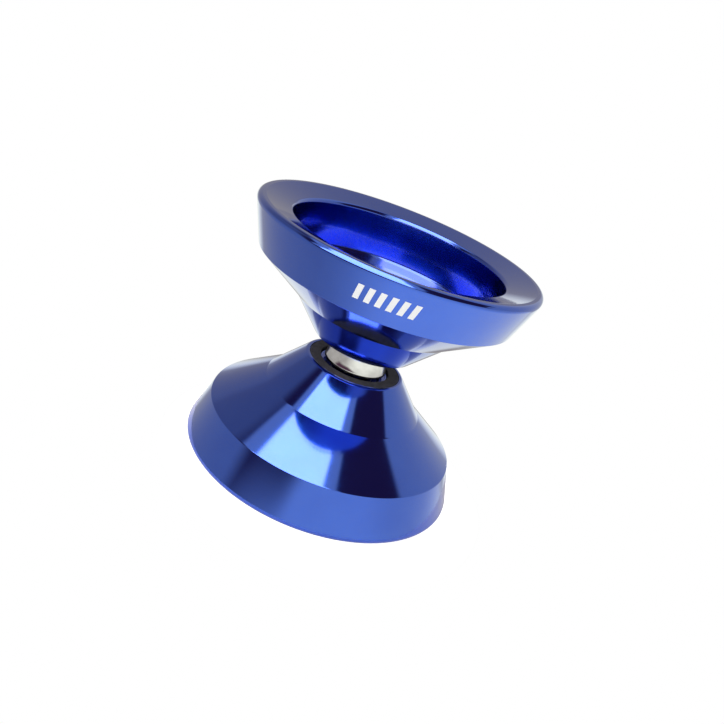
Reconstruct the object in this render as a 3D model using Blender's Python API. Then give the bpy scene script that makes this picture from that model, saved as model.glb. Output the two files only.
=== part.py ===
"""Wide V-shaped metal yo-yo with a ball bearing hub, modelled in metres.

The spin axis is +Z and the origin is the middle of the string gap. Two identical
turned halves screw onto one axle, and the ball bearing sits between them.
Profiles are lists of (radius, height) points in millimetres.
"""

import math

import bmesh
import bpy

MM = 0.001

# Turned half, as heights above the middle of the string gap
RIM_RADIUS = 28.0
HALF_WIDTH = 24.75
LIP_ROUND = 0.9
CREST_LAND = 0.55
GAP_HALF = 2.35
HUB_RADIUS = 10.0
HUB_ROUND = 0.7
CREASE = (16.1, 9.3)
BAND_EDGE = (25.35, 16.0)
BAND_EDGE_ROUND = 0.3
CUP_MOUTH = (21.0, 23.25)
CUP_MOUTH_ROUND = 0.8
CUP_FOOT = (20.3, 14.1)
CUP_FOOT_ROUND = 0.8
CUP_VALLEY = (7.0, 6.4)
BOSS_FOOT_RADIUS = 4.9
BOSS_RADIUS = 4.1
BOSS_HEIGHT = 11.1
BOSS_ROUND = 0.7
POST_RADIUS = 2.95
POST_END = 0.35
SEAT_RADIUS = 4.05
SEAT_HEIGHT = 2.68
RECESS_RADIUS = 6.6
RECESS_DEPTH = 0.8
RECESS_LIP_DROP = 0.55
GROOVE_INNER = 6.95
GROOVE_OUTER = 9.42
GROOVE_DEPTH = 1.25
AXLE_HOLE_RADIUS = 2.3
AXLE_HOLE_END = 9.0
DRILL_POINT = 0.7

# Response pads
PAD_INNER = 7.1
PAD_OUTER = 9.3
PAD_THICKNESS = 0.95

# Axle, an M4 set screw
AXLE_RADIUS = 2.0
AXLE_LENGTH = 16.0
AXLE_CHAMFER = 0.45
SOCKET_FLATS = 2.0
SOCKET_DEPTH = 2.0

# Ball bearing, 1/4 x 1/2 x 3/16 inch
BORE_RADIUS = 3.175
RACE_RADIUS = 6.35
RACE_HALF_WIDTH = 2.38
TRACK_DEPTH = 0.35
TRACK_HALF_WIDTH = 1.9
BALL_COUNT = 10
BALL_RADIUS = 0.794
BALL_CLEARANCE = 0.086
PITCH_RADIUS = 0.5 * (BORE_RADIUS + RACE_RADIUS)
INNER_SHOULDER = 4.2
OUTER_SHOULDER = 5.3
SHIELD_STEP_RADIUS = 5.72
SHIELD_STEP_HEIGHT = 1.55
RING_GROOVE_RADIUS = 5.95
RING_GROOVE = (1.85, 2.2)
RACE_CHAMFER = 0.1
SHIELD_INNER = 4.35
SHIELD_OUTER = 5.62
SHIELD_SPAN = (1.65, 1.78)
SNAP_RING_INNER = 5.3
SNAP_RING_OUTER = 5.86
SNAP_RING_SPAN = (1.9, 2.15)
SNAP_RING_GAP_DEG = 24
CAGE_INNER = 4.42
CAGE_OUTER = 5.1
CAGE_SPAN = (-1.25, 0.35)

HALF_SEGMENTS = 48
BEARING_SEGMENTS = 32
AXLE_SEGMENTS = 24
ARC_STEPS = 3


def clear_scene():
    for item in list(bpy.data.objects):
        bpy.data.objects.remove(item)


def material(name, colour, roughness, metallic):
    made = bpy.data.materials.new(name)
    made.use_nodes = True
    shader = made.node_tree.nodes["Principled BSDF"]
    shader.inputs["Base Color"].default_value = (*colour, 1.0)
    shader.inputs["Roughness"].default_value = roughness
    shader.inputs["Metallic"].default_value = metallic
    return made


def fillet(before, corner, after, radius, steps=ARC_STEPS):
    """Points of the arc that rounds the corner between two straight runs of a profile."""

    def unit_from_corner(point):
        run = (point[0] - corner[0], point[1] - corner[1])
        length = math.hypot(*run)
        return (run[0] / length, run[1] / length)

    back, ahead = unit_from_corner(before), unit_from_corner(after)
    opening = math.acos(back[0] * ahead[0] + back[1] * ahead[1])
    tangent = radius / math.tan(opening / 2)
    middle = (back[0] + ahead[0], back[1] + ahead[1])
    reach = radius / math.sin(opening / 2) / math.hypot(*middle)
    centre = (corner[0] + middle[0] * reach, corner[1] + middle[1] * reach)
    first = (corner[0] + back[0] * tangent, corner[1] + back[1] * tangent)
    last = (corner[0] + ahead[0] * tangent, corner[1] + ahead[1] * tangent)
    start = math.atan2(first[1] - centre[1], first[0] - centre[0])
    turn = math.atan2(last[1] - centre[1], last[0] - centre[0]) - start
    turn = (turn + math.pi) % (2 * math.pi) - math.pi
    angles = [start + turn * step / steps for step in range(steps + 1)]
    return [(centre[0] + radius * math.cos(a), centre[1] + radius * math.sin(a)) for a in angles]


def lip_arc(steps=4):
    """Points of the round lip, from its tangent with the flared band up to its crest."""
    centre = (RIM_RADIUS - LIP_ROUND, HALF_WIDTH - LIP_ROUND)
    run = (centre[0] - BAND_EDGE[0], centre[1] - BAND_EDGE[1])
    band_slope = math.atan2(run[1], run[0]) - math.asin(LIP_ROUND / math.hypot(*run))
    start = band_slope - math.pi / 2
    angles = [start + (math.pi / 2 - start) * step / steps for step in range(steps + 1)]
    return [
        (centre[0] + LIP_ROUND * math.cos(a), centre[1] + LIP_ROUND * math.sin(a)) for a in angles
    ]


def half_profile():
    """Outline of one half, from the axis in the drilled hole round to the axis in the cup."""
    lip = lip_arc()
    crest = (lip[-1][0] - CREST_LAND, HALF_WIDTH)
    hub_edge = (HUB_RADIUS, GAP_HALF)
    boss_foot = (BOSS_FOOT_RADIUS, CUP_VALLEY[1])
    boss_edge = (BOSS_RADIUS, BOSS_HEIGHT)
    boss_centre = (0.0, BOSS_HEIGHT)
    return [
        (0.0, AXLE_HOLE_END + DRILL_POINT),
        (AXLE_HOLE_RADIUS, AXLE_HOLE_END),
        (AXLE_HOLE_RADIUS, POST_END),
        (POST_RADIUS, POST_END),
        (POST_RADIUS, SEAT_HEIGHT),
        (SEAT_RADIUS, SEAT_HEIGHT),
        (SEAT_RADIUS, GAP_HALF + RECESS_DEPTH),
        (RECESS_RADIUS, GAP_HALF + RECESS_DEPTH),
        (RECESS_RADIUS, GAP_HALF + RECESS_LIP_DROP),
        (GROOVE_INNER, GAP_HALF + RECESS_LIP_DROP),
        (GROOVE_INNER, GAP_HALF + GROOVE_DEPTH),
        (GROOVE_OUTER, GAP_HALF + GROOVE_DEPTH),
        (GROOVE_OUTER, GAP_HALF),
        *fillet((GROOVE_OUTER, GAP_HALF), hub_edge, CREASE, HUB_ROUND, steps=2),
        CREASE,
        *fillet(CREASE, BAND_EDGE, lip[0], BAND_EDGE_ROUND, steps=2),
        *lip,
        crest,
        *fillet(crest, CUP_MOUTH, CUP_FOOT, CUP_MOUTH_ROUND),
        *fillet(CUP_MOUTH, CUP_FOOT, CUP_VALLEY, CUP_FOOT_ROUND),
        CUP_VALLEY,
        boss_foot,
        *fillet(boss_foot, boss_edge, boss_centre, BOSS_ROUND, steps=2),
        boss_centre,
    ]


def pad_profile():
    face = GAP_HALF
    back = GAP_HALF + PAD_THICKNESS
    return [(PAD_INNER, back), (PAD_OUTER, back), (PAD_OUTER, face), (PAD_INNER, face)]


def axle_profile():
    end = AXLE_LENGTH / 2
    flat = AXLE_RADIUS - AXLE_CHAMFER
    shoulder = end - AXLE_CHAMFER
    return [
        (0.0, end),
        (flat, end),
        (AXLE_RADIUS, shoulder),
        (AXLE_RADIUS, -shoulder),
        (flat, -end),
        (0.0, -end),
    ]


def ball_track(shoulder_radius, steps=4):
    """Arc of a ball track, from its upper shoulder to its lower one."""
    radius = BALL_RADIUS + BALL_CLEARANCE
    outward = math.copysign(1.0, shoulder_radius - PITCH_RADIUS)
    half_angle = math.acos(abs(shoulder_radius - PITCH_RADIUS) / radius)
    angles = [half_angle * (1 - 2 * step / steps) for step in range(steps + 1)]
    return [
        (PITCH_RADIUS + outward * radius * math.cos(a), radius * math.sin(a)) for a in angles
    ]


def string_track(steps=6):
    """Concave arc round the outer race, which centres the string, from bottom to top."""
    half, depth = TRACK_HALF_WIDTH, TRACK_DEPTH
    radius = (half**2 + depth**2) / (2 * depth)
    centre = RACE_RADIUS - depth + radius
    half_angle = math.asin(half / radius)
    angles = [half_angle * (2 * step / steps - 1) for step in range(steps + 1)]
    return [(centre - radius * math.cos(a), radius * math.sin(a)) for a in angles]


def both_ends(upper):
    """A run of points above the middle plane, and its mirror image below in reverse order."""
    return upper, [(radius, -height) for radius, height in reversed(upper)]


def outer_race_profile():
    step_in, step_out = RING_GROOVE
    top, bottom = both_ends(
        [
            (RACE_RADIUS, RACE_HALF_WIDTH - RACE_CHAMFER),
            (RACE_RADIUS - RACE_CHAMFER, RACE_HALF_WIDTH),
            (SHIELD_STEP_RADIUS, RACE_HALF_WIDTH),
            (SHIELD_STEP_RADIUS, step_out),
            (RING_GROOVE_RADIUS, step_out),
            (RING_GROOVE_RADIUS, step_in),
            (SHIELD_STEP_RADIUS, step_in),
            (SHIELD_STEP_RADIUS, SHIELD_STEP_HEIGHT),
            (OUTER_SHOULDER, SHIELD_STEP_HEIGHT),
        ]
    )
    return [*string_track(), *top, *ball_track(OUTER_SHOULDER), *bottom]


def inner_race_profile():
    top, bottom = both_ends(
        [
            (BORE_RADIUS, RACE_HALF_WIDTH - RACE_CHAMFER),
            (BORE_RADIUS + RACE_CHAMFER, RACE_HALF_WIDTH),
            (INNER_SHOULDER, RACE_HALF_WIDTH),
        ]
    )
    return [*top, *ball_track(INNER_SHOULDER), *bottom]


def ring_profile(inner, outer, span):
    low, high = span
    return [(inner, high), (outer, high), (outer, low), (inner, low)]


def turned_mesh(name, profile, segments, turn=2 * math.pi, start=0.0):
    """Revolves a profile about +Z. A profile that doesn't end on the axis is a closed ring."""
    shape = bmesh.new()
    points = [
        shape.verts.new((r * math.cos(start) * MM, r * math.sin(start) * MM, z * MM))
        for r, z in profile
    ]
    runs = [shape.edges.new(pair) for pair in zip(points, points[1:])]
    closed = profile[0][0] > 0
    if closed:
        runs.append(shape.edges.new((points[-1], points[0])))
    full = turn == 2 * math.pi
    spun = bmesh.ops.spin(
        shape,
        geom=[*points, *runs],
        cent=(0, 0, 0),
        axis=(0, 0, 1),
        angle=turn,
        steps=segments,
        use_merge=full,
    )
    if not full:
        last = [item for item in spun["geom_last"] if isinstance(item, bmesh.types.BMEdge)]
        bmesh.ops.contextual_create(shape, geom=runs)
        bmesh.ops.contextual_create(shape, geom=last)
    bmesh.ops.remove_doubles(shape, verts=shape.verts, dist=1e-7)
    bmesh.ops.recalc_face_normals(shape, faces=shape.faces)
    mesh = bpy.data.meshes.new(name)
    shape.to_mesh(mesh)
    shape.free()
    mesh.shade_smooth()
    mesh.set_sharp_from_angle(angle=math.radians(25))
    return mesh


def ball_mesh(name, radius, subdivisions=2):
    shape = bmesh.new()
    bmesh.ops.create_icosphere(shape, subdivisions=subdivisions, radius=radius * MM)
    mesh = bpy.data.meshes.new(name)
    shape.to_mesh(mesh)
    shape.free()
    mesh.shade_smooth()
    return mesh


def add_node(name, mesh, look, parent=None, location=(0, 0, 0), turned_over=False):
    node = bpy.data.objects.new(name, mesh)
    bpy.context.scene.collection.objects.link(node)
    if not mesh.materials:
        mesh.materials.append(look)
    node.location = location
    node.rotation_euler.x = math.pi if turned_over else 0.0
    node.parent = parent
    return node


def add_pivot(name):
    pivot = bpy.data.objects.new(name, None)
    pivot.empty_display_size = RIM_RADIUS * MM
    bpy.context.scene.collection.objects.link(pivot)
    return pivot


def add_pair(kind, mesh, look, parents):
    """The same piece above the middle plane, and turned over below it."""
    add_node("upper_" + kind, mesh, look, parents[0])
    add_node("lower_" + kind, mesh, look, parents[1], turned_over=True)


def cut(node, cutter):
    cutter.hide_render = True
    cutter.display_type = "WIRE"
    boolean = node.modifiers.new("cut", "BOOLEAN")
    boolean.operation = "DIFFERENCE"
    boolean.solver = "EXACT"
    boolean.object = cutter


def add_axle(look, parent):
    axle = add_node("axle", turned_mesh("axle", axle_profile(), AXLE_SEGMENTS), look, parent)
    shape = bmesh.new()
    bmesh.ops.create_cone(
        shape,
        cap_ends=True,
        segments=6,
        radius1=SOCKET_FLATS / math.sqrt(3) * MM,
        radius2=SOCKET_FLATS / math.sqrt(3) * MM,
        depth=2 * SOCKET_DEPTH * MM,
    )
    mesh = bpy.data.meshes.new("hex_socket")
    shape.to_mesh(mesh)
    shape.free()
    socket = add_node("hex_socket", mesh, look, parent, (0, 0, AXLE_LENGTH / 2 * MM))
    cut(axle, socket)


def ball_places():
    angles = [2 * math.pi * index / BALL_COUNT for index in range(BALL_COUNT)]
    return [(PITCH_RADIUS * MM * math.cos(a), PITCH_RADIUS * MM * math.sin(a), 0) for a in angles]


def add_cage(look, parent):
    """Crown cage: a ring whose pockets are open at the top and snap over the balls."""
    profile = ring_profile(CAGE_INNER, CAGE_OUTER, CAGE_SPAN)
    cage = add_node("bearing_cage", turned_mesh("cage", profile, 2 * BEARING_SEGMENTS), look, parent)
    shape = bmesh.new()
    for place in ball_places():
        made = bmesh.ops.create_icosphere(
            shape, subdivisions=2, radius=(BALL_RADIUS + BALL_CLEARANCE) * MM
        )
        bmesh.ops.translate(shape, verts=made["verts"], vec=place)
    mesh = bpy.data.meshes.new("ball_pockets")
    shape.to_mesh(mesh)
    shape.free()
    cut(cage, add_node("ball_pockets", mesh, look, parent))


def add_balls(look, parent):
    mesh = ball_mesh("ball", BALL_RADIUS)
    for number, place in enumerate(ball_places(), start=1):
        add_node(f"bearing_ball_{number}", mesh, look, parent, place)


def build():
    clear_scene()
    blue = material("blue_anodised", (0.02, 0.07, 0.42), 0.22, 1.0)
    silicone = material("silicone", (0.035, 0.035, 0.04), 0.8, 0.0)
    steel = material("bearing_steel", (0.72, 0.71, 0.68), 0.15, 1.0)
    axle_steel = material("axle_steel", (0.35, 0.34, 0.33), 0.35, 1.0)
    nylon = material("cage_nylon", (0.75, 0.72, 0.62), 0.5, 0.0)

    lower_pivot = add_pivot("lower_axis")
    upper_pivot = add_pivot("upper_axis")
    race_pivot = add_pivot("race_axis")
    cage_pivot = add_pivot("cage_axis")

    halves = (upper_pivot, lower_pivot)
    add_pair("half", turned_mesh("half", half_profile(), HALF_SEGMENTS), blue, halves)
    add_pair("response_pad", turned_mesh("pad", pad_profile(), HALF_SEGMENTS), silicone, halves)
    add_axle(axle_steel, lower_pivot)

    inner = turned_mesh("inner_race", inner_race_profile(), BEARING_SEGMENTS)
    add_node("bearing_inner_race", inner, steel)
    outer = turned_mesh("outer_race", outer_race_profile(), BEARING_SEGMENTS)
    add_node("bearing_outer_race", outer, steel, race_pivot)
    shield = ring_profile(SHIELD_INNER, SHIELD_OUTER, SHIELD_SPAN)
    races = (race_pivot, race_pivot)
    add_pair("shield", turned_mesh("shield", shield, BEARING_SEGMENTS), steel, races)
    clip = ring_profile(SNAP_RING_INNER, SNAP_RING_OUTER, SNAP_RING_SPAN)
    opening = math.radians(SNAP_RING_GAP_DEG)
    ring = turned_mesh("snap_ring", clip, BEARING_SEGMENTS, 2 * math.pi - opening, opening / 2)
    add_pair("snap_ring", ring, axle_steel, races)
    add_cage(nylon, cage_pivot)
    add_balls(steel, cage_pivot)


build()
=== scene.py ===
"""Visual model of the blue V-shaped metal yo-yo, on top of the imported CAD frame.

Lengths are given in millimetres and turned into metres where meshes are made. The spin
axis is +Z, the origin is the middle of the string gap, and the camera is on the -Y side.
"""

import math

import bmesh
import bpy
from mathutils import Matrix, Vector


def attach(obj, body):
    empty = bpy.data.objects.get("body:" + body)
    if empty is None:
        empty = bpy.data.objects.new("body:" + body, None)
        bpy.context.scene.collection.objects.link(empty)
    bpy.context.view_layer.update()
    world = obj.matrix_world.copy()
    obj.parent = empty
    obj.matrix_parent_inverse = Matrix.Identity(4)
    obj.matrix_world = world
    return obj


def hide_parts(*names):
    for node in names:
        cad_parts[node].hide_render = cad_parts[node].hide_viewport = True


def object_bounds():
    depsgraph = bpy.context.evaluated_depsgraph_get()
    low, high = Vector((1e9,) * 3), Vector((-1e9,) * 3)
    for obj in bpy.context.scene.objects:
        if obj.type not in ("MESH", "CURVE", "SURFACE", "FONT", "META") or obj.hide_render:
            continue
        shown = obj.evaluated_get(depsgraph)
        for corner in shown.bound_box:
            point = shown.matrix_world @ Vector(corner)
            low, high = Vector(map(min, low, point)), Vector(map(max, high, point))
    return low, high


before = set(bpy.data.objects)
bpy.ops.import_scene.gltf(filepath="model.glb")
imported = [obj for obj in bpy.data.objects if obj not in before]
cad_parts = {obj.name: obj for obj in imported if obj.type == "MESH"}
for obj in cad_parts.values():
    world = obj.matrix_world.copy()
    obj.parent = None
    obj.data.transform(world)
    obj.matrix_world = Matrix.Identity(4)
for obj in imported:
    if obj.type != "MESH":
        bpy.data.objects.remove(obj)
cad_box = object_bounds()

MM = 0.001
CAD_HIGH = cad_box[1]
# the turned rim lies this far inside the CAD's
RIM_INSET = 0.004

# Turned half, as heights above the middle of the string gap
RIM_RADIUS = CAD_HIGH.x / MM - RIM_INSET
HALF_WIDTH = CAD_HIGH.z / MM
LIP_ROUND = 0.9
CREST_LAND = 0.55
GAP_HALF = 2.35
HUB_RADIUS = 10.0
HUB_ROUND = 0.7
CREASE = (16.1, 9.3)
CREASE_ROUND = 0.9
BAND_EDGE = (25.35, 16.0)
BAND_EDGE_ROUND = 0.3
CUP_MOUTH = (21.0, 23.25)
CUP_MOUTH_ROUND = 0.8
CUP_FOOT = (20.3, 14.1)
CUP_FOOT_ROUND = 0.8
CUP_VALLEY = (7.0, 6.4)
CUP_VALLEY_ROUND = 0.7
BOSS_FOOT_RADIUS = 4.9
BOSS_FOOT_ROUND = 0.5
BOSS_RADIUS = 4.1
BOSS_HEIGHT = 11.1
BOSS_ROUND = 0.7
POST_RADIUS = 2.95
POST_END = 0.35
SEAT_RADIUS = 4.05
SEAT_HEIGHT = 2.68
RECESS_RADIUS = 6.6
RECESS_DEPTH = 0.8
RECESS_LIP_DROP = 0.55
GROOVE_INNER = 6.95
GROOVE_OUTER = 9.42
GROOVE_DEPTH = 1.25
AXLE_HOLE_RADIUS = 2.3
AXLE_HOLE_END = 9.0
DRILL_POINT = 0.7
EDGE_BREAK = 0.08

# Response pads
PAD_INNER = 7.1
PAD_OUTER = 9.3
PAD_THICKNESS = 0.95
PAD_ROUND = 0.12

# Axle, an M4 set screw
AXLE_RADIUS = 2.0
AXLE_LENGTH = 16.0
AXLE_CHAMFER = 0.45
THREAD_PITCH = 0.7
THREAD_DEPTH = 0.38
SOCKET_FLATS = 2.0
SOCKET_DEPTH = 2.0
SOCKET_POINT = 0.5

# Ball bearing, 1/4 x 1/2 x 3/16 inch
BORE_RADIUS = 3.175
RACE_RADIUS = 6.35
RACE_HALF_WIDTH = 2.38
TRACK_DEPTH = 0.35
TRACK_HALF_WIDTH = 1.9
BALL_COUNT = 10
BALL_RADIUS = 0.794
BALL_CLEARANCE = 0.086
PITCH_RADIUS = 0.5 * (BORE_RADIUS + RACE_RADIUS)
INNER_SHOULDER = 4.2
OUTER_SHOULDER = 5.3
SHIELD_STEP_RADIUS = 5.72
SHIELD_STEP_HEIGHT = 1.55
RING_GROOVE_RADIUS = 5.95
RING_GROOVE = (1.85, 2.2)
RACE_CHAMFER = 0.1
SHIELD_INNER = 4.35
SHIELD_OUTER = 5.62
SHIELD_SPAN = (1.65, 1.78)
SHIELD_ROUND = 0.03
SNAP_RING_INNER = 5.3
SNAP_RING_OUTER = 5.86
SNAP_RING_SPAN = (1.9, 2.15)
SNAP_RING_ROUND = 0.06
SNAP_RING_GAP_DEG = 24

HALF_SEGMENTS = 384
PAD_SEGMENTS = 256
BEARING_SEGMENTS = 192
FLOOR_SEGMENTS = 128
AXLE_SEGMENTS = 48
ROWS_PER_THREAD_TURN = 8
ARC_STEP_DEG = 4.0
SUPPORT = 0.05
LONG_RUN = 6 * SUPPORT

# Camera, as the turn of the lens axis above the horizon and the roll about it
CAMERA_DISTANCE = 151.05
CAMERA_ELEVATION = 0.39
CAMERA_ROLL = 0.38
CAMERA_SIDESTEP = 0.60
CAMERA_RISE = 1.85
CAMERA_LENS = 37.98
SENSOR_WIDTH = 36.0

# Where the duller finish and the painted shade of the cup start. It is above a line that runs
# along the flared wall, given by its slope and its height on the axis, and within a radius at
# the mouth. Each pair goes from no effect to the full effect.
CUP_LINE_SLOPE = 0.724
CUP_LINE_HEIGHT = -2.3
CUP_ABOVE_LINE = (0.3, 0.8)
CUP_RADII = (21.3, 20.9)

# Lamp of the studio and its dimmer surround. Both bend to the left, so each is two panels,
# given by their corners, as degrees to the right and up of the camera, and by how soft
# each edge is, in degrees
LAMP_PANELS = (
    ([(-46, 23), (18, -4), (26, 34), (-14, 54)], (2, 2, 2, 1)),
    ([(-21, 46), (22, 26), (37, 87), (18, 98), (-12, 65)], (1, 1, 1, 3, 1)),
)
HALO_PANELS = (
    ([(-54, 24), (25, -7), (36, 34), (-24, 56)], (3, 2, 2, 2)),
    ([(-31, 46), (31, 24), (40, 85), (5, 104), (-22, 72)], (1, 1, 1, 3, 2)),
)
LAMP_COLOUR = (3.4, 3.2, 3.4, 1)

# Levels of the dimmer parts of the studio, and how red, green and blue follow from a level
HALO_LEVEL = 0.58
TABLE_LEVELS = (0.33, 0.75)
TABLE_FOOT_LEVEL = 0.15
WALL_LEVEL = 0.45
LEFT_LEVELS = (0.36, 0.20)
BEHIND_LEVEL = 0.25
PAPER_LEVEL = 0.85
ROOM_TINT = (1.0, 1.1, 1.0)
ROOM_DARK = (0.070, 0.028, 0.055)

# Floor disc, and its glow from the middle to the edge as the camera sees it
FLOOR_RADIUS = 34.0
FLOOR_THICKNESS = 2.0
FLOOR_CLEARANCE = 0.02
FLOOR_ROUND = 0.6
FLOOR_PLACE = (2.0, -2.0, 0.0)
FLOOR_GLOW_RADII = (29.0, 33.0)
FLOOR_GLOW = (0.3, 1.0)


# ---------------------------------------------------------------- profiles


def fillet(before, corner, after, radius):
    """Points of the arc that rounds the corner between two straight runs of a profile."""

    def unit_from_corner(point):
        run = (point[0] - corner[0], point[1] - corner[1])
        length = math.hypot(*run)
        return (run[0] / length, run[1] / length)

    back, ahead = unit_from_corner(before), unit_from_corner(after)
    opening = math.acos(back[0] * ahead[0] + back[1] * ahead[1])
    tangent = radius / math.tan(opening / 2)
    middle = (back[0] + ahead[0], back[1] + ahead[1])
    reach = radius / math.sin(opening / 2) / math.hypot(*middle)
    centre = (corner[0] + middle[0] * reach, corner[1] + middle[1] * reach)
    first = (corner[0] + back[0] * tangent, corner[1] + back[1] * tangent)
    last = (corner[0] + ahead[0] * tangent, corner[1] + ahead[1] * tangent)
    start = math.atan2(first[1] - centre[1], first[0] - centre[0])
    turn = math.atan2(last[1] - centre[1], last[0] - centre[0]) - start
    turn = (turn + math.pi) % (2 * math.pi) - math.pi
    steps = max(3, round(abs(math.degrees(turn)) / ARC_STEP_DEG))
    angles = [start + turn * step / steps for step in range(steps + 1)]
    return [(centre[0] + radius * math.cos(a), centre[1] + radius * math.sin(a)) for a in angles]


def rounded(corners, closed=False):
    """Outline through (radius, height, round) corners, with each corner rounded that much."""
    points = []
    count = len(corners)
    for index, (r, z, round_off) in enumerate(corners):
        ends = index in (0, count - 1) and not closed
        if round_off and not ends:
            before, after = corners[index - 1], corners[(index + 1) % count]
            points += fillet(before[:2], (r, z), after[:2], round_off)
        else:
            points.append((r, z))
    return points


def with_supports(points, closed=False):
    """Adds a point close to both ends of each long run, so that its flat stays flat when smooth."""
    out = []
    following = points[1:] + points[:1] if closed else points[1:]
    for (r0, z0), (r1, z1) in zip(points, following):
        out.append((r0, z0))
        length = math.hypot(r1 - r0, z1 - z0)
        if length > LONG_RUN:
            for share in (SUPPORT / length, 1 - SUPPORT / length):
                out.append((r0 + (r1 - r0) * share, z0 + (z1 - z0) * share))
    if not closed:
        out.append(points[-1])
    return out


def lip_arc():
    """Points of the round lip, from its tangent with the flared band up to its crest."""
    centre = (RIM_RADIUS - LIP_ROUND, HALF_WIDTH - LIP_ROUND)
    run = (centre[0] - BAND_EDGE[0], centre[1] - BAND_EDGE[1])
    band_slope = math.atan2(run[1], run[0]) - math.asin(LIP_ROUND / math.hypot(*run))
    start = band_slope - math.pi / 2
    steps = round(math.degrees(math.pi / 2 - start) / ARC_STEP_DEG)
    angles = [start + (math.pi / 2 - start) * step / steps for step in range(steps + 1)]
    return [
        (centre[0] + LIP_ROUND * math.cos(a), centre[1] + LIP_ROUND * math.sin(a)) for a in angles
    ]


def half_profile():
    """Outline of one half, from the axis in the drilled hole round to the axis in the cup."""
    lip = lip_arc()
    crest = (lip[-1][0] - CREST_LAND, HALF_WIDTH)
    hole = rounded(
        [
            (0.0, AXLE_HOLE_END + DRILL_POINT, 0),
            (AXLE_HOLE_RADIUS, AXLE_HOLE_END, 0),
            (AXLE_HOLE_RADIUS, POST_END, EDGE_BREAK),
            (POST_RADIUS, POST_END, EDGE_BREAK),
            (POST_RADIUS, SEAT_HEIGHT, 0),
            (SEAT_RADIUS, SEAT_HEIGHT, EDGE_BREAK),
            (SEAT_RADIUS, GAP_HALF + RECESS_DEPTH, EDGE_BREAK),
            (RECESS_RADIUS, GAP_HALF + RECESS_DEPTH, EDGE_BREAK),
            (RECESS_RADIUS, GAP_HALF + RECESS_LIP_DROP, EDGE_BREAK),
            (GROOVE_INNER, GAP_HALF + RECESS_LIP_DROP, EDGE_BREAK),
            (GROOVE_INNER, GAP_HALF + GROOVE_DEPTH, EDGE_BREAK),
            (GROOVE_OUTER, GAP_HALF + GROOVE_DEPTH, EDGE_BREAK),
            (GROOVE_OUTER, GAP_HALF, EDGE_BREAK / 2),
            (HUB_RADIUS, GAP_HALF, 0),
        ]
    )[:-1]
    hub = fillet((GROOVE_OUTER, GAP_HALF), (HUB_RADIUS, GAP_HALF), CREASE, HUB_ROUND)
    crease = fillet((HUB_RADIUS, GAP_HALF), CREASE, BAND_EDGE, CREASE_ROUND)
    edge = fillet(CREASE, BAND_EDGE, lip[0], BAND_EDGE_ROUND)
    mouth = fillet(crest, CUP_MOUTH, CUP_FOOT, CUP_MOUTH_ROUND)
    foot = fillet(CUP_MOUTH, CUP_FOOT, CUP_VALLEY, CUP_FOOT_ROUND)
    boss = rounded(
        [
            (*CUP_FOOT, 0),
            (*CUP_VALLEY, CUP_VALLEY_ROUND),
            (BOSS_FOOT_RADIUS, CUP_VALLEY[1], BOSS_FOOT_ROUND),
            (BOSS_RADIUS, BOSS_HEIGHT, BOSS_ROUND),
            (0.0, BOSS_HEIGHT, 0),
        ]
    )[1:]
    hub = [point for point in hub if point[0] > GROOVE_OUTER + EDGE_BREAK]
    return with_supports([*hole, *hub, *crease, *edge, *lip, crest, *mouth, *foot, *boss])


def ball_track(shoulder_radius):
    """Arc of a ball track, from its upper shoulder to its lower one."""
    radius = BALL_RADIUS + BALL_CLEARANCE
    outward = math.copysign(1.0, shoulder_radius - PITCH_RADIUS)
    half_angle = math.acos(abs(shoulder_radius - PITCH_RADIUS) / radius)
    steps = 16
    angles = [half_angle * (1 - 2 * step / steps) for step in range(steps + 1)]
    return [
        (PITCH_RADIUS + outward * radius * math.cos(a), radius * math.sin(a)) for a in angles
    ]


def string_track():
    """Concave arc round the outer race, which centres the string, from bottom to top."""
    half, depth = TRACK_HALF_WIDTH, TRACK_DEPTH
    radius = (half**2 + depth**2) / (2 * depth)
    centre = RACE_RADIUS - depth + radius
    half_angle = math.asin(half / radius)
    steps = 24
    angles = [half_angle * (2 * step / steps - 1) for step in range(steps + 1)]
    return [(centre - radius * math.cos(a), radius * math.sin(a)) for a in angles]


def both_ends(upper):
    """A run of points above the middle plane, and its mirror image below in reverse order."""
    return upper, [(radius, -height) for radius, height in reversed(upper)]


def outer_race_profile():
    step_in, step_out = RING_GROOVE
    top, bottom = both_ends(
        [
            (RACE_RADIUS, RACE_HALF_WIDTH - RACE_CHAMFER),
            (RACE_RADIUS - RACE_CHAMFER, RACE_HALF_WIDTH),
            (SHIELD_STEP_RADIUS, RACE_HALF_WIDTH),
            (SHIELD_STEP_RADIUS, step_out),
            (RING_GROOVE_RADIUS, step_out),
            (RING_GROOVE_RADIUS, step_in),
            (SHIELD_STEP_RADIUS, step_in),
            (SHIELD_STEP_RADIUS, SHIELD_STEP_HEIGHT),
            (OUTER_SHOULDER, SHIELD_STEP_HEIGHT),
        ]
    )
    outline = [*string_track(), *top, *ball_track(OUTER_SHOULDER), *bottom]
    return with_supports(outline, closed=True)


def inner_race_profile():
    top, bottom = both_ends(
        [
            (BORE_RADIUS, RACE_HALF_WIDTH - RACE_CHAMFER),
            (BORE_RADIUS + RACE_CHAMFER, RACE_HALF_WIDTH),
            (INNER_SHOULDER, RACE_HALF_WIDTH),
        ]
    )
    return with_supports([*top, *ball_track(INNER_SHOULDER), *bottom], closed=True)


def ring_profile(inner, outer, span, round_off):
    low, high = span
    corners = [(inner, high), (outer, high), (outer, low), (inner, low)]
    return with_supports(rounded([(*corner, round_off) for corner in corners], True), closed=True)


# ---------------------------------------------------------------- meshes


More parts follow.
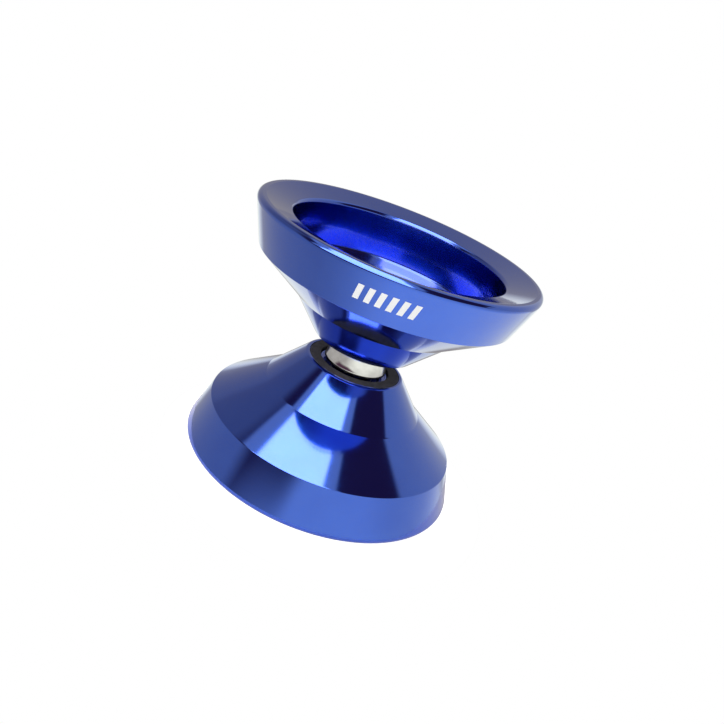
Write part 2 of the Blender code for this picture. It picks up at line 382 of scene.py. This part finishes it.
def finish_mesh(shape, name, sharp_deg=30):
    bmesh.ops.remove_doubles(shape, verts=shape.verts, dist=1e-8)
    bmesh.ops.recalc_face_normals(shape, faces=shape.faces)
    mesh = bpy.data.meshes.new(name)
    shape.to_mesh(mesh)
    shape.free()
    mesh.shade_smooth()
    mesh.set_sharp_from_angle(angle=math.radians(sharp_deg))
    return mesh


def turned_mesh(name, profile, segments, closed=False, turn=2 * math.pi, start=0.0):
    """Revolves a profile about +Z. A part turn of a closed profile gets its two ends capped."""
    shape = bmesh.new()
    full = turn == 2 * math.pi
    columns = segments if full else segments + 1
    angles = [start + turn * step / segments for step in range(columns)]
    rings = []
    for r, z in profile:
        if r == 0:
            rings.append([shape.verts.new((0, 0, z * MM))] * columns)
        else:
            rings.append(
                [
                    shape.verts.new((r * math.cos(a) * MM, r * math.sin(a) * MM, z * MM))
                    for a in angles
                ]
            )
    pairs = list(zip(rings, rings[1:] + rings[:1] if closed else rings[1:]))
    for low, high in pairs:
        for column in range(columns if full else columns - 1):
            after = (column + 1) % columns
            corners = [low[column], low[after], high[after], high[column]]
            shape.faces.new(list(dict.fromkeys(corners)))
    if not full:
        shape.faces.new([ring[0] for ring in rings])
        shape.faces.new([ring[-1] for ring in rings])
    return finish_mesh(shape, name)


def place(name, mesh, look, body, replaced, turned_over=False):
    """Adds a visible piece for a CAD node, moving with that node's body."""
    piece = bpy.data.objects.new(name, mesh)
    bpy.context.scene.collection.objects.link(piece)
    if not mesh.materials:
        mesh.materials.append(look)
    if turned_over:
        piece.matrix_world = Matrix.Rotation(math.pi, 4, "X")
        bpy.context.view_layer.update()
    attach(piece, body)
    if replaced:
        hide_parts(*replaced)
    return piece


def threaded_axle_mesh():
    """Set screw with a true helical thread, chamfered ends and a hexagon socket in its top."""
    shape = bmesh.new()
    around = AXLE_SEGMENTS
    rows = int(AXLE_LENGTH / THREAD_PITCH * ROWS_PER_THREAD_TURN)
    # the groove is a triangle wave, stretched and shifted so that its crest and root clip flat
    stretch, shift = 1.35, 0.12
    half = AXLE_LENGTH / 2
    rings = []
    for row in range(rows + 1):
        z = -half + AXLE_LENGTH * row / rows
        to_end = half - abs(z)
        crest = AXLE_RADIUS - max(0.0, AXLE_CHAMFER - to_end)
        ring = []
        for column in range(around):
            angle = 2 * math.pi * column / around
            phase = (z / THREAD_PITCH - column / around) % 1.0
            groove = max(0.0, min(1.0, (1 - abs(2 * phase - 1)) * stretch - shift))
            radius = min(crest, AXLE_RADIUS - THREAD_DEPTH * groove)
            ring.append(
                shape.verts.new((radius * math.cos(angle) * MM, radius * math.sin(angle) * MM, z * MM))
            )
        rings.append(ring)
    for low, high in zip(rings, rings[1:]):
        for column in range(around):
            after = (column + 1) % around
            shape.faces.new([low[column], low[after], high[after], high[column]])
    shape.faces.new(rings[0][::-1])
    # socket: the top face is a ring of faces round a hexagonal hole with a floor
    socket_radius = SOCKET_FLATS / math.sqrt(3)
    mouth, floor = [], []
    for column in range(around):
        angle = 2 * math.pi * column / around
        side = (angle % (math.pi / 3)) - math.pi / 6
        reach = socket_radius * math.cos(math.pi / 6) / math.cos(side)
        x, y = reach * math.cos(angle) * MM, reach * math.sin(angle) * MM
        mouth.append(shape.verts.new((x, y, half * MM)))
        floor.append(shape.verts.new((x, y, (half - SOCKET_DEPTH) * MM)))
    tip = shape.verts.new((0, 0, (half - SOCKET_DEPTH - SOCKET_POINT) * MM))
    for column in range(around):
        after = (column + 1) % around
        shape.faces.new([rings[-1][column], rings[-1][after], mouth[after], mouth[column]])
        shape.faces.new([mouth[column], mouth[after], floor[after], floor[column]])
        shape.faces.new([floor[column], floor[after], tip])
    return finish_mesh(shape, "axle_thread", 35)


def ball_mesh():
    shape = bmesh.new()
    bmesh.ops.create_icosphere(shape, subdivisions=4, radius=BALL_RADIUS * MM)
    return finish_mesh(shape, "ball", 60)


# ---------------------------------------------------------------- materials


class Nodes:
    """Short ways to add and join shader nodes in one tree."""

    def __init__(self, tree):
        self.tree = tree
        self.tree.nodes.clear()

    def add(self, kind, **settings):
        node = self.tree.nodes.new(kind)
        for name, value in settings.items():
            setattr(node, name, value)
        return node

    def link(self, source, target):
        self.tree.links.new(source, target)

    def feed(self, socket, value):
        if isinstance(value, bpy.types.NodeSocket):
            self.link(value, socket)
        else:
            socket.default_value = value

    def math(self, operation, a, b=0.0, c=0.0):
        node = self.add("ShaderNodeMath", operation=operation)
        for socket, value in zip(node.inputs, (a, b, c)):
            self.feed(socket, value)
        return node.outputs[0]

    def product(self, first, *others):
        for other in others:
            first = self.math("MULTIPLY", first, other)
        return first

    def largest(self, first, *others):
        for other in others:
            first = self.math("MAXIMUM", first, other)
        return first

    def smooth(self, value, low, high, to_low=0.0, to_high=1.0):
        node = self.add("ShaderNodeMapRange", interpolation_type="SMOOTHSTEP")
        self.feed(node.inputs["Value"], value)
        node.inputs["From Min"].default_value = low
        node.inputs["From Max"].default_value = high
        node.inputs["To Min"].default_value = to_low
        node.inputs["To Max"].default_value = to_high
        return node.outputs["Result"]

    def dot(self, vector, direction):
        node = self.add("ShaderNodeVectorMath", operation="DOT_PRODUCT")
        self.link(vector, node.inputs[0])
        node.inputs[1].default_value = direction
        return node.outputs["Value"]

    def noise(self, vector, scale, detail=2.0, roughness=0.5):
        node = self.add("ShaderNodeTexNoise")
        self.link(vector, node.inputs["Vector"])
        node.inputs["Scale"].default_value = scale
        node.inputs["Detail"].default_value = detail
        node.inputs["Roughness"].default_value = roughness
        return node.outputs["Fac"]

    def mix_colour(self, factor, a, b):
        node = self.add("ShaderNodeMix", data_type="RGBA")
        self.feed(node.inputs["Factor"], factor)
        self.feed(node.inputs["A"], a)
        self.feed(node.inputs["B"], b)
        return node.outputs["Result"]

    def bump(self, height, strength, distance):
        node = self.add("ShaderNodeBump")
        node.inputs["Strength"].default_value = strength
        node.inputs["Distance"].default_value = distance
        self.link(height, node.inputs["Height"])
        return node.outputs["Normal"]


def new_material(name):
    made = bpy.data.materials.new(name)
    made.use_nodes = True
    nodes = Nodes(made.node_tree)
    shader = nodes.add("ShaderNodeBsdfPrincipled")
    output = nodes.add("ShaderNodeOutputMaterial")
    nodes.link(shader.outputs["BSDF"], output.inputs["Surface"])
    return made, nodes, shader


def turning_marks(nodes):
    """The place on the object, and its radius and height, which are the same all the way round."""
    place_on = nodes.add("ShaderNodeTexCoord").outputs["Object"]
    split = nodes.add("ShaderNodeSeparateXYZ")
    nodes.link(place_on, split.inputs[0])
    flat = nodes.add("ShaderNodeCombineXYZ")
    nodes.link(split.outputs["X"], flat.inputs["X"])
    nodes.link(split.outputs["Y"], flat.inputs["Y"])
    length = nodes.add("ShaderNodeVectorMath", operation="LENGTH")
    nodes.link(flat.outputs[0], length.inputs[0])
    rings = nodes.add("ShaderNodeCombineXYZ")
    nodes.link(length.outputs["Value"], rings.inputs["X"])
    nodes.link(split.outputs["Z"], rings.inputs["Y"])
    return place_on, rings.outputs[0]


def cup_mask(nodes, rings):
    """1 inside the cup, and also on the post close to the axis, and 0 on the outer walls."""
    split = nodes.add("ShaderNodeSeparateXYZ")
    nodes.link(rings, split.inputs[0])
    radius = split.outputs["X"]
    height = nodes.math("ABSOLUTE", split.outputs["Y"])
    line = nodes.math("MULTIPLY_ADD", radius, CUP_LINE_SLOPE, CUP_LINE_HEIGHT * MM)
    above = nodes.smooth(nodes.math("SUBTRACT", height, line), *(edge * MM for edge in CUP_ABOVE_LINE))
    within = nodes.smooth(radius, *(edge * MM for edge in CUP_RADII))
    return nodes.math("MULTIPLY", above, within)


def anodised_aluminium():
    made, nodes, shader = new_material("anodised_aluminium")
    place_on, rings = turning_marks(nodes)
    fine = nodes.noise(rings, 9000.0, 3.0, 0.6)
    broad = nodes.noise(place_on, 160.0, 3.0, 0.55)
    depth = nodes.smooth(broad, 0.3, 0.7)
    deep_dye, pale_dye = (0.010, 0.104, 0.705, 1), (0.014, 0.116, 0.735, 1)
    colour = nodes.mix_colour(depth, deep_dye, pale_dye)
    shader.inputs["Metallic"].default_value = 1.0
    handled = nodes.smooth(nodes.noise(place_on, 420.0, 4.0, 0.6), 0.35, 0.75, 0.0, 0.02)
    turned = nodes.smooth(fine, 0.3, 0.7, 0.075, 0.105)
    # the inside of the cup is duller than the outside, and its base colour is painted darker there as
    # shade in the hollow
    in_cup = cup_mask(nodes, rings)
    cup_painted_shade = (0.012, 0.072, 0.540, 1)
    nodes.link(nodes.mix_colour(in_cup, colour, cup_painted_shade), shader.inputs["Base Color"])
    dull = nodes.math("MULTIPLY", in_cup, 0.06)
    nodes.link(nodes.math("ADD", nodes.math("ADD", turned, handled), dull), shader.inputs["Roughness"])
    nodes.link(nodes.bump(fine, 0.05, 0.00002), shader.inputs["Normal"])
    # clear surface of the oxide layer over the dyed metal
    shader.inputs["Coat Weight"].default_value = 1.0
    shader.inputs["Coat IOR"].default_value = 1.8
    shader.inputs["Coat Roughness"].default_value = 0.06
    return made


def silicone():
    made, nodes, shader = new_material("response_silicone")
    place_on = nodes.add("ShaderNodeTexCoord").outputs["Object"]
    grain = nodes.noise(place_on, 6000.0, 4.0, 0.7)
    mottle = nodes.noise(place_on, 900.0, 3.0, 0.6)
    colour = nodes.mix_colour(
        nodes.smooth(mottle, 0.3, 0.7), (0.030, 0.030, 0.036, 1), (0.060, 0.060, 0.068, 1)
    )
    nodes.link(colour, shader.inputs["Base Color"])
    nodes.link(nodes.smooth(grain, 0.3, 0.7, 0.55, 0.8), shader.inputs["Roughness"])
    nodes.link(nodes.bump(grain, 0.6, 0.00006), shader.inputs["Normal"])
    return made


def steel(name, dark, light, rough, marks=0.03, warmth=1.0):
    """Turned or ground steel with fine rings in its gloss."""
    made, nodes, shader = new_material(name)
    place_on, rings = turning_marks(nodes)
    fine = nodes.noise(rings, 14000.0, 3.0, 0.6)
    stain = nodes.noise(place_on, 700.0, 3.0, 0.55)
    low = (dark, dark * warmth, dark * warmth**2, 1)
    high = (light, light * warmth, light * warmth**2, 1)
    nodes.link(nodes.mix_colour(nodes.smooth(stain, 0.3, 0.7), low, high), shader.inputs["Base Color"])
    shader.inputs["Metallic"].default_value = 1.0
    nodes.link(nodes.smooth(fine, 0.3, 0.7, rough, rough + marks), shader.inputs["Roughness"])
    nodes.link(nodes.bump(fine, 0.08, 0.00001), shader.inputs["Normal"])
    return made


def nylon():
    made, nodes, shader = new_material("cage_nylon")
    place_on = nodes.add("ShaderNodeTexCoord").outputs["Object"]
    cloud = nodes.noise(place_on, 800.0, 3.0, 0.5)
    colour = nodes.mix_colour(
        nodes.smooth(cloud, 0.3, 0.7), (0.66, 0.61, 0.46, 1), (0.74, 0.70, 0.57, 1)
    )
    nodes.link(colour, shader.inputs["Base Color"])
    shader.inputs["Roughness"].default_value = 0.45
    nodes.link(nodes.bump(nodes.noise(place_on, 5000.0), 0.2, 0.00002), shader.inputs["Normal"])
    return made


def print_ink():
    made, nodes, shader = new_material("printed_ink")
    place_on = nodes.add("ShaderNodeTexCoord").outputs["Object"]
    grain = nodes.noise(place_on, 4000.0, 3.0, 0.6)
    colour = nodes.mix_colour(
        nodes.smooth(grain, 0.3, 0.7), (0.92, 0.93, 0.95, 1), (0.97, 0.97, 0.98, 1)
    )
    nodes.link(colour, shader.inputs["Base Color"])
    shader.inputs["Roughness"].default_value = 0.5
    nodes.link(nodes.bump(grain, 0.2, 0.00001), shader.inputs["Normal"])
    return made


# ---------------------------------------------------------------- pieces


def band_point(theta, share, lift=0.0):
    """A point on the flared band of the upper half, share of the way from its edge to the lip."""
    low, high = BAND_EDGE, lip_arc()[0]
    run = (high[0] - low[0], high[1] - low[1])
    length = math.hypot(*run)
    out = (run[1] / length, -run[0] / length)
    r = low[0] + run[0] * share + out[0] * lift
    z = low[1] + run[1] * share + out[1] * lift
    return Vector((r * math.sin(theta), -r * math.cos(theta), z)) * MM


def printed_bars(look):
    """A row of slanting printed bars on the upper band, plain generic trim."""
    shape = bmesh.new()
    bars, pitch, width, slant = 6, math.radians(4.1), math.radians(2.15), math.radians(1.0)
    first = math.radians(-8.4)
    low_share, high_share = 0.36, 0.73
    top_lift, under_lift = 0.012, -0.02
    rows, columns = 6, 6
    for bar in range(bars):
        grid = {}
        for row in range(rows + 1):
            for column in range(columns + 1):
                share = low_share + (high_share - low_share) * row / rows
                theta = first + bar * pitch + width * column / columns
                theta += slant * (row / rows - 0.5)
                for lift in (top_lift, under_lift):
                    grid[row, column, lift] = shape.verts.new(band_point(theta, share, lift))
        for row in range(rows):
            for column in range(columns):
                after, above = column + 1, row + 1
                for lift in (top_lift, under_lift):
                    corners = [(row, column), (row, after), (above, after), (above, column)]
                    shape.faces.new([grid[(*corner, lift)] for corner in corners])
        sides = [((row, column), (row + 1, column)) for row in range(rows) for column in (0, columns)]
        sides += [((row, column), (row, column + 1)) for column in range(columns) for row in (0, rows)]
        for start, end in sides:
            upper = [grid[(*start, top_lift)], grid[(*end, top_lift)]]
            shape.faces.new([*upper, grid[(*end, under_lift)], grid[(*start, under_lift)]])
    mesh = finish_mesh(shape, "printed_bars", 40)
    return place("upper_printed_bars", mesh, look, "upper_assembly", ())


def build_pieces():
    blue = anodised_aluminium()
    rubber = silicone()
    race_steel = steel("bearing_steel", 0.80, 0.88, 0.10, 0.03, 0.975)
    ball_steel = steel("ball_steel", 0.82, 0.9, 0.06, 0.02)
    pressed = steel("shield_steel", 0.5, 0.6, 0.22, 0.08)
    dark_steel = steel("axle_steel", 0.22, 0.32, 0.3, 0.12)
    natural = nylon()

    half = turned_mesh("half", half_profile(), HALF_SEGMENTS)
    pad_span = (GAP_HALF, GAP_HALF + PAD_THICKNESS)
    pad = turned_mesh("pad", ring_profile(PAD_INNER, PAD_OUTER, pad_span, PAD_ROUND), PAD_SEGMENTS, True)
    for side, over in (("upper", False), ("lower", True)):
        body = side + "_assembly"
        place(side + "_half_turned", half, blue, body, (side + "_half",), over)
        pad_node = side + "_response_pad"
        place(side + "_pad_ring", pad, rubber, body, (pad_node,), over)

    place(
        "axle_set_screw", threaded_axle_mesh(), dark_steel, "lower_assembly", ("axle",)
    )
    inner = turned_mesh("inner_race", inner_race_profile(), BEARING_SEGMENTS, True)
    place("inner_race_ground", inner, race_steel, "bearing_core", ("bearing_inner_race",))
    outer = turned_mesh("outer_race", outer_race_profile(), BEARING_SEGMENTS, True)
    place("outer_race_ground", outer, race_steel, "outer_ring", ("bearing_outer_race",))

    shield = ring_profile(SHIELD_INNER, SHIELD_OUTER, SHIELD_SPAN, SHIELD_ROUND)
    shield_mesh = turned_mesh("shield", shield, BEARING_SEGMENTS, True)
    clip = ring_profile(SNAP_RING_INNER, SNAP_RING_OUTER, SNAP_RING_SPAN, SNAP_RING_ROUND)
    opening = math.radians(SNAP_RING_GAP_DEG)
    clip_mesh = turned_mesh(
        "snap_ring", clip, BEARING_SEGMENTS, True, 2 * math.pi - opening, opening / 2
    )
    for side, over in (("upper", False), ("lower", True)):
        plate, wire = side + "_shield_plate", side + "_snap_wire"
        place(plate, shield_mesh, pressed, "outer_ring", (side + "_shield",), over)
        place(wire, clip_mesh, dark_steel, "outer_ring", (side + "_snap_ring",), over)

    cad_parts["bearing_cage"].data.materials.clear()
    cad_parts["bearing_cage"].data.materials.append(natural)
    ball = ball_mesh()
    for number in range(1, BALL_COUNT + 1):
        angle = 2 * math.pi * (number - 1) / BALL_COUNT
        piece = bpy.data.objects.new(f"ball_{number}", ball)
        bpy.context.scene.collection.objects.link(piece)
        if not ball.materials:
            ball.materials.append(ball_steel)
        piece.location = Vector((math.cos(angle), math.sin(angle), 0)) * PITCH_RADIUS * MM
        bpy.context.view_layer.update()
        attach(piece, "ball_set")
        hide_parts(f"bearing_ball_{number}")
    printed_bars(print_ink())


# ---------------------------------------------------------------- camera and studio


def camera_axes():
    """Right, up and back directions of the camera, rolled about its lens axis."""
    back = Vector((0, -math.cos(CAMERA_ELEVATION), math.sin(CAMERA_ELEVATION)))
    level_right = Vector((1, 0, 0))
    level_up = back.cross(level_right)
    cosine, sine = math.cos(CAMERA_ROLL), math.sin(CAMERA_ROLL)
    right = level_right * cosine + level_up * sine
    up = level_up * cosine - level_right * sine
    return right, up, back


def add_camera():
    right, up, back = camera_axes()
    data = bpy.data.cameras.new("camera")
    data.lens = CAMERA_LENS
    data.sensor_width = SENSOR_WIDTH
    data.clip_start = 0.005
    data.clip_end = 5.0
    camera = bpy.data.objects.new("camera", data)
    bpy.context.scene.collection.objects.link(camera)
    turn = Matrix((right, up, back)).transposed().to_4x4()
    where = back * CAMERA_DISTANCE + right * CAMERA_SIDESTEP - up * CAMERA_RISE
    camera.matrix_world = Matrix.Translation(where * MM) @ turn
    bpy.context.scene.camera = camera


def studio_direction(right_deg, up_deg):
    """Direction that far to the right and up of the camera, as the object sees it."""
    right, up, back = camera_axes()
    angle = math.hypot(right_deg, up_deg)
    side = (right * right_deg + up * up_deg) / angle
    return back * math.cos(math.radians(angle)) + side * math.sin(math.radians(angle))


def panel(nodes, direction, corners, soft_deg):
    """1 inside the panel whose corners are given anticlockwise, falling to 0 round its edges."""
    inside = None
    points = [studio_direction(*corner) for corner in corners]
    for (a, b), soft in zip(zip(points, points[1:] + points[:1]), soft_deg):
        normal = a.cross(b).normalized()
        reach = math.sin(math.radians(soft))
        edge = nodes.smooth(nodes.dot(direction, normal), -reach, reach)
        inside = edge if inside is None else nodes.math("MULTIPLY", inside, edge)
    return inside


def panels(nodes, direction, parts):
    """1 inside any of the panels."""
    return nodes.largest(*(panel(nodes, direction, corners, soft) for corners, soft in parts))


def room_level(nodes, x, y, z):
    """Light of the room by direction: x, y and z are its parts to the right, up and to the camera."""
    # table and front of the room, below a line that climbs to the left
    edge = nodes.math("MULTIPLY_ADD", nodes.smooth(x, -0.25, -0.95), 0.28, -0.205)
    below = nodes.smooth(nodes.math("SUBTRACT", edge, y), -0.07, 0.07)
    across = nodes.smooth(x, -0.85, -0.15, *TABLE_LEVELS)
    foot = nodes.smooth(y, -0.3, -0.95, 0.0, TABLE_FOOT_LEVEL)
    fade = nodes.smooth(x, 0.6, 0.95, 1.0, 0.78)
    table = nodes.product(below, nodes.math("ADD", across, foot), fade)
    # wall on the right, past a sharp edge, and on behind the object
    aside = nodes.smooth(x, math.sin(math.radians(73.5)), math.sin(math.radians(76.5)))
    past = nodes.product(nodes.smooth(x, 0.3, 0.5), nodes.smooth(z, 0.11, 0.04))
    wall = nodes.product(nodes.largest(aside, past), WALL_LEVEL)
    # dim wall on the left, which ends short of the camera and is dimmer higher up
    short = nodes.smooth(nodes.math("MULTIPLY_ADD", y, 0.33, z), 0.66, 0.42)
    left = nodes.product(short, nodes.smooth(x, -0.1, -0.35), nodes.smooth(y, 0.3, 0.7, *LEFT_LEVELS))
    # the far side of the object, and white paper there, dimmer in a strip down its middle
    behind = nodes.product(nodes.smooth(z, -0.05, -0.45), BEHIND_LEVEL)
    strip = nodes.smooth(nodes.math("ABSOLUTE", x), 0.1, 0.25, 0.25, 1.0)
    paper = nodes.smooth(z, -0.72, -0.95, 0.0, PAPER_LEVEL)
    paper = nodes.product(paper, nodes.smooth(y, 0.6, 0.35), strip)
    return nodes.largest(table, wall, left, behind, paper)


def add_world():
    """Studio of a bent lamp over the camera and a dim room, which the camera sees as plain white."""
    world = bpy.data.worlds.new("studio")
    bpy.context.scene.world = world
    world.use_nodes = True
    nodes = Nodes(world.node_tree)
    direction = nodes.add("ShaderNodeTexCoord").outputs["Generated"]
    right, up, back = camera_axes()
    x, y, z = (nodes.dot(direction, axis) for axis in (right, up, back))
    halo = nodes.product(panels(nodes, direction, HALO_PANELS), HALO_LEVEL)
    level = nodes.largest(room_level(nodes, x, y, z), halo)
    room = nodes.add("ShaderNodeCombineColor")
    for channel, tint, dark in zip(room.inputs[:3], ROOM_TINT, ROOM_DARK):
        nodes.link(nodes.math("MULTIPLY_ADD", level, tint, dark), channel)
    lamp_light = nodes.mix_colour(panels(nodes, direction, LAMP_PANELS), (0, 0, 0, 1), LAMP_COLOUR)
    both = nodes.add("ShaderNodeVectorMath", operation="ADD")
    nodes.link(room.outputs[0], both.inputs[0])
    nodes.link(lamp_light, both.inputs[1])

    seen = nodes.add("ShaderNodeLightPath").outputs["Is Camera Ray"]
    studio = nodes.add("ShaderNodeBackground")
    nodes.link(both.outputs[0], studio.inputs["Color"])
    backdrop = nodes.add("ShaderNodeBackground")
    backdrop.inputs["Color"].default_value = (1, 1, 1, 1)
    mix = nodes.add("ShaderNodeMixShader")
    nodes.link(seen, mix.inputs["Fac"])
    nodes.link(studio.outputs[0], mix.inputs[1])
    nodes.link(backdrop.outputs[0], mix.inputs[2])
    output = nodes.add("ShaderNodeOutputWorld")
    nodes.link(mix.outputs[0], output.inputs["Surface"])


def add_floor():
    """Pale round floor under the lower rim, which glows to white at its edge for the camera."""
    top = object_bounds()[0].z / MM - FLOOR_CLEARANCE
    under = top - FLOOR_THICKNESS
    rim = [(FLOOR_RADIUS, top, FLOOR_ROUND), (FLOOR_RADIUS, under, FLOOR_ROUND)]
    corners = [(0, top, 0), *rim, (0, under, 0)]
    mesh = turned_mesh("floor", with_supports(rounded(corners)), FLOOR_SEGMENTS)
    made, nodes, shader = new_material("table_white")
    place_on = nodes.add("ShaderNodeTexCoord").outputs["Object"]
    grain = nodes.noise(place_on, 900.0, 3.0, 0.6)
    nodes.link(nodes.smooth(grain, 0.3, 0.7, 0.62, 0.7), shader.inputs["Roughness"])
    shader.inputs["Base Color"].default_value = (0.62, 0.62, 0.61, 1)
    shader.inputs["Emission Color"].default_value = (1, 1, 1, 1)
    seen = nodes.add("ShaderNodeLightPath").outputs["Is Camera Ray"]
    apart = nodes.add("ShaderNodeVectorMath", operation="LENGTH")
    nodes.link(place_on, apart.inputs[0])
    glow_start, glow_end = (radius * MM for radius in FLOOR_GLOW_RADII)
    glow = nodes.smooth(apart.outputs["Value"], glow_start, glow_end, *FLOOR_GLOW)
    nodes.link(nodes.math("MULTIPLY", seen, glow), shader.inputs["Emission Strength"])
    mesh.materials.append(made)
    floor = bpy.data.objects.new("floor", mesh)
    floor.location = Vector(FLOOR_PLACE) * MM
    bpy.context.scene.collection.objects.link(floor)


def set_view():
    view = bpy.context.scene.view_settings
    view.view_transform = "Standard"
    view.look = "None"
    view.exposure = 0.0
    view.gamma = 1.0


build_pieces()
add_floor()
add_camera()
add_world()
set_view()
